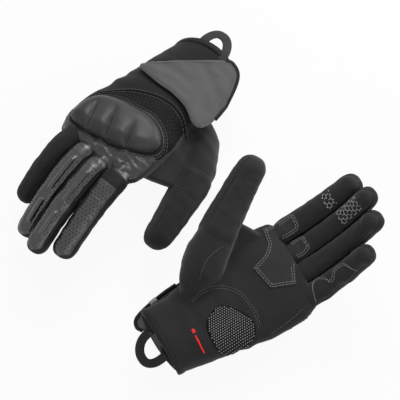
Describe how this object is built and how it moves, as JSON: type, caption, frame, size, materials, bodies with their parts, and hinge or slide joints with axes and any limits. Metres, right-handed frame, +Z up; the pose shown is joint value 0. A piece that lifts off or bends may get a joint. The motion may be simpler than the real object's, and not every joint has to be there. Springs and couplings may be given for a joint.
{
  "type": "motorcycle riding gloves",
  "caption": "Pair of short-cuff riding gloves with moulded knuckle guard, bending fingers, closure flap and pull loop.",
  "frame": {"origin": "middle of the ground that the pair covers", "axes": "+Z up from the ground that the gloves lie on; the cuffs lie along Y, the right glove towards -X with its back up, the left glove towards +X with its palm up"},
  "size_m": [0.3008, 0.278, 0.097],
  "materials": {
    "palm_suede": "matte suede-like microfibre",
    "back_leather": "satin goatskin, partly perforated",
    "cuff_fabric": "matte stretch fabric",
    "lining": "brushed knit",
    "binding": "woven tape",
    "guard_shell": "satin moulded plastic",
    "foam": "closed-cell foam",
    "hook_and_loop": "hook and loop tape",
    "grey_textile": "woven polyester",
    "webbing": "woven webbing",
    "slider_fabric": "abrasion-proof weave with raised dots",
    "knit": "stretch knit"
  },
  "bodies": {
    "right_hand": {"right_palm_shell": "palm_suede", "right_back_shell": "back_leather", "right_cuff_panel": "cuff_fabric", "right_hand_liner": "lining", "right_cuff_binding": "binding", "right_knuckle_guard": "guard_shell", "right_guard_foam": "foam", "right_cuff_loop_pad": "hook_and_loop", "right_palm_patch": "palm_suede", "right_heel_slider": "slider_fabric"},
    "right_index_root": {"right_index_root": "back_leather"},
    "right_index_tip": {"right_index_tip": "back_leather"},
    "right_middle_root": {"right_middle_root": "back_leather", "right_middle_ridge": "back_leather"},
    "right_middle_tip": {"right_middle_tip": "back_leather"},
    "right_ring_root": {"right_ring_root": "back_leather", "right_ring_ridge": "back_leather"},
    "right_ring_tip": {"right_ring_tip": "back_leather"},
    "right_little_root": {"right_little_root": "knit", "right_little_patch": "palm_suede"},
    "right_little_tip": {"right_little_tip": "knit"},
    "right_thumb_root": {"right_thumb_root": "knit"},
    "right_thumb_tip": {"right_thumb_tip": "knit"},
    "right_flap": {"right_closure_flap": "grey_textile", "right_flap_hook_pad": "hook_and_loop"},
    "right_loop": {"right_pull_loop": "webbing"},
    "left_hand": {"left_palm_shell": "palm_suede", "left_back_shell": "back_leather", "left_cuff_panel": "cuff_fabric", "left_hand_liner": "lining", "left_cuff_binding": "binding", "left_knuckle_guard": "guard_shell", "left_guard_foam": "foam", "left_cuff_loop_pad": "hook_and_loop", "left_palm_patch": "palm_suede", "left_heel_slider": "slider_fabric"},
    "left_index_root": {"left_index_root": "back_leather"},
    "left_index_tip": {"left_index_tip": "back_leather"},
    "left_middle_root": {"left_middle_root": "back_leather", "left_middle_ridge": "back_leather"},
    "left_middle_tip": {"left_middle_tip": "back_leather"},
    "left_ring_root": {"left_ring_root": "back_leather", "left_ring_ridge": "back_leather"},
    "left_ring_tip": {"left_ring_tip": "back_leather"},
    "left_little_root": {"left_little_root": "knit", "left_little_patch": "palm_suede"},
    "left_little_tip": {"left_little_tip": "knit"},
    "left_thumb_root": {"left_thumb_root": "knit"},
    "left_thumb_tip": {"left_thumb_tip": "knit"},
    "left_flap": {"left_closure_flap": "grey_textile", "left_flap_hook_pad": "hook_and_loop"},
    "left_loop": {"left_pull_loop": "webbing"}
  },
  "joints": [
    {"name": "left_glove_lift", "type": "slide", "parent": "right_hand", "child": "left_hand", "axis": [0, 0, 1], "range_m": [0, 0.2]},
    {"name": "right_index_knuckle", "type": "hinge", "parent": "right_hand", "child": "right_index_root", "pos_m": [-0.06076, -0.04353, 0.05198], "axis": [0.9591, 0.2077, 0.1925], "range_deg": [0, 60]},
    {"name": "right_index_crease", "type": "hinge", "parent": "right_index_root", "child": "right_index_tip", "pos_m": [-0.05174, -0.07957, 0.04593], "axis": [0.9591, 0.2077, 0.1925], "range_deg": [0, 60]},
    {"name": "right_middle_knuckle", "type": "hinge", "parent": "right_hand", "child": "right_middle_root", "pos_m": [-0.08083, -0.05062, 0.04823], "axis": [0.9591, 0.2077, 0.1925], "range_deg": [0, 60]},
    {"name": "right_middle_crease", "type": "hinge", "parent": "right_middle_root", "child": "right_middle_tip", "pos_m": [-0.07118, -0.09177, 0.04458], "axis": [0.9591, 0.2077, 0.1925], "range_deg": [0, 60]},
    {"name": "right_ring_knuckle", "type": "hinge", "parent": "right_hand", "child": "right_ring_root", "pos_m": [-0.10187, -0.04935, 0.04336], "axis": [0.9685, 0.1367, 0.2079], "range_deg": [0, 60]},
    {"name": "right_ring_crease", "type": "hinge", "parent": "right_ring_root", "child": "right_ring_tip", "pos_m": [-0.09438, -0.08843, 0.03415], "axis": [0.9685, 0.1367, 0.2079], "range_deg": [0, 60]},
    {"name": "right_little_knuckle", "type": "hinge", "parent": "right_hand", "child": "right_little_root", "pos_m": [-0.12291, -0.04435, 0.03791], "axis": [0.9697, -0.0398, 0.241], "range_deg": [0, 60]},
    {"name": "right_little_crease", "type": "hinge", "parent": "right_little_root", "child": "right_little_tip", "pos_m": [-0.12178, -0.07408, 0.02842], "axis": [0.9697, -0.0398, 0.241], "range_deg": [0, 60]},
    {"name": "right_thumb_knuckle", "type": "hinge", "parent": "right_hand", "child": "right_thumb_root", "pos_m": [-0.03472, 0.01422, 0.00875], "axis": [0.8422, 0.2949, -0.4514], "range_deg": [0, 35]},
    {"name": "right_thumb_crease", "type": "hinge", "parent": "right_thumb_root", "child": "right_thumb_tip", "pos_m": [-0.01967, -0.01729, 0.01623], "axis": [0.8422, 0.2949, -0.4514], "range_deg": [0, 35]},
    {"name": "right_flap_fold", "type": "hinge", "parent": "right_hand", "child": "right_flap", "pos_m": [-0.14338, 0.05454, 0.04069], "axis": [0.1394, -0.9671, 0.213], "range_deg": [0, 110]},
    {"name": "right_loop_fold", "type": "hinge", "parent": "right_hand", "child": "right_loop", "pos_m": [-0.11899, 0.113, 0.03993], "axis": [-0.9631, -0.1824, -0.1981], "range_deg": [-40, 55]},
    {"name": "left_index_knuckle", "type": "hinge", "parent": "left_hand", "child": "left_index_root", "pos_m": [0.07033, 0.05881, 0.05147], "axis": [0.9866, -0.1542, -0.0539], "range_deg": [0, 60]},
    {"name": "left_index_crease", "type": "hinge", "parent": "left_index_root", "child": "left_index_tip", "pos_m": [0.07656, 0.09392, 0.06501], "axis": [0.9866, -0.1542, -0.0539], "range_deg": [0, 60]},
    {"name": "left_middle_knuckle", "type": "hinge", "parent": "left_hand", "child": "left_middle_root", "pos_m": [0.09178, 0.05753, 0.05035], "axis": [0.9897, -0.1336, -0.0517], "range_deg": [0, 60]},
    {"name": "left_middle_crease", "type": "hinge", "parent": "left_middle_root", "child": "left_middle_tip", "pos_m": [0.09785, 0.0952, 0.06927], "axis": [0.9897, -0.1336, -0.0517], "range_deg": [0, 60]},
    {"name": "left_ring_knuckle", "type": "hinge", "parent": "left_hand", "child": "left_ring_root", "pos_m": [0.11215, 0.05072, 0.04874], "axis": [0.9879, -0.1456, -0.053], "range_deg": [0, 60]},
    {"name": "left_ring_crease", "type": "hinge", "parent": "left_ring_root", "child": "left_ring_tip", "pos_m": [0.11861, 0.08827, 0.06603], "axis": [0.9879, -0.1456, -0.053], "range_deg": [0, 60]},
    {"name": "left_little_knuckle", "type": "hinge", "parent": "left_hand", "child": "left_little_root", "pos_m": [0.13166, 0.03932, 0.04629], "axis": [0.9871, -0.1507, -0.0535], "range_deg": [0, 60]},
    {"name": "left_little_crease", "type": "hinge", "parent": "left_little_root", "child": "left_little_tip", "pos_m": [0.13684, 0.06846, 0.05958], "axis": [0.9871, -0.1507, -0.0535], "range_deg": [0, 60]},
    {"name": "left_thumb_knuckle", "type": "hinge", "parent": "left_hand", "child": "left_thumb_root", "pos_m": [0.04607, 0.00805, 0.07806], "axis": [0.7193, 0.4137, -0.5581], "range_deg": [0, 35]},
    {"name": "left_thumb_crease", "type": "hinge", "parent": "left_thumb_root", "child": "left_thumb_tip", "pos_m": [0.03216, 0.04038, 0.0841], "axis": [0.7193, 0.4137, -0.5581], "range_deg": [0, 35]},
    {"name": "left_flap_fold", "type": "hinge", "parent": "left_hand", "child": "left_flap", "pos_m": [0.11715, -0.0552, 0.0109], "axis": [-0.1418, -0.9844, -0.1045], "range_deg": [0, 110]},
    {"name": "left_loop_fold", "type": "hinge", "parent": "left_hand", "child": "left_loop", "pos_m": [0.0758, -0.10255, 0.00309], "axis": [-0.9892, 0.137, 0.052], "range_deg": [-40, 55]}
  ],
  "couplings": [
    {"joint": "right_index_crease", "follows": "right_index_knuckle", "ratio": 1},
    {"joint": "right_middle_crease", "follows": "right_middle_knuckle", "ratio": 1},
    {"joint": "right_ring_crease", "follows": "right_ring_knuckle", "ratio": 1},
    {"joint": "right_little_crease", "follows": "right_little_knuckle", "ratio": 1},
    {"joint": "right_thumb_crease", "follows": "right_thumb_knuckle", "ratio": 1},
    {"joint": "left_index_crease", "follows": "left_index_knuckle", "ratio": 1},
    {"joint": "left_middle_crease", "follows": "left_middle_knuckle", "ratio": 1},
    {"joint": "left_ring_crease", "follows": "left_ring_knuckle", "ratio": 1},
    {"joint": "left_little_crease", "follows": "left_little_knuckle", "ratio": 1},
    {"joint": "left_thumb_crease", "follows": "left_thumb_knuckle", "ratio": 1}
  ]
}
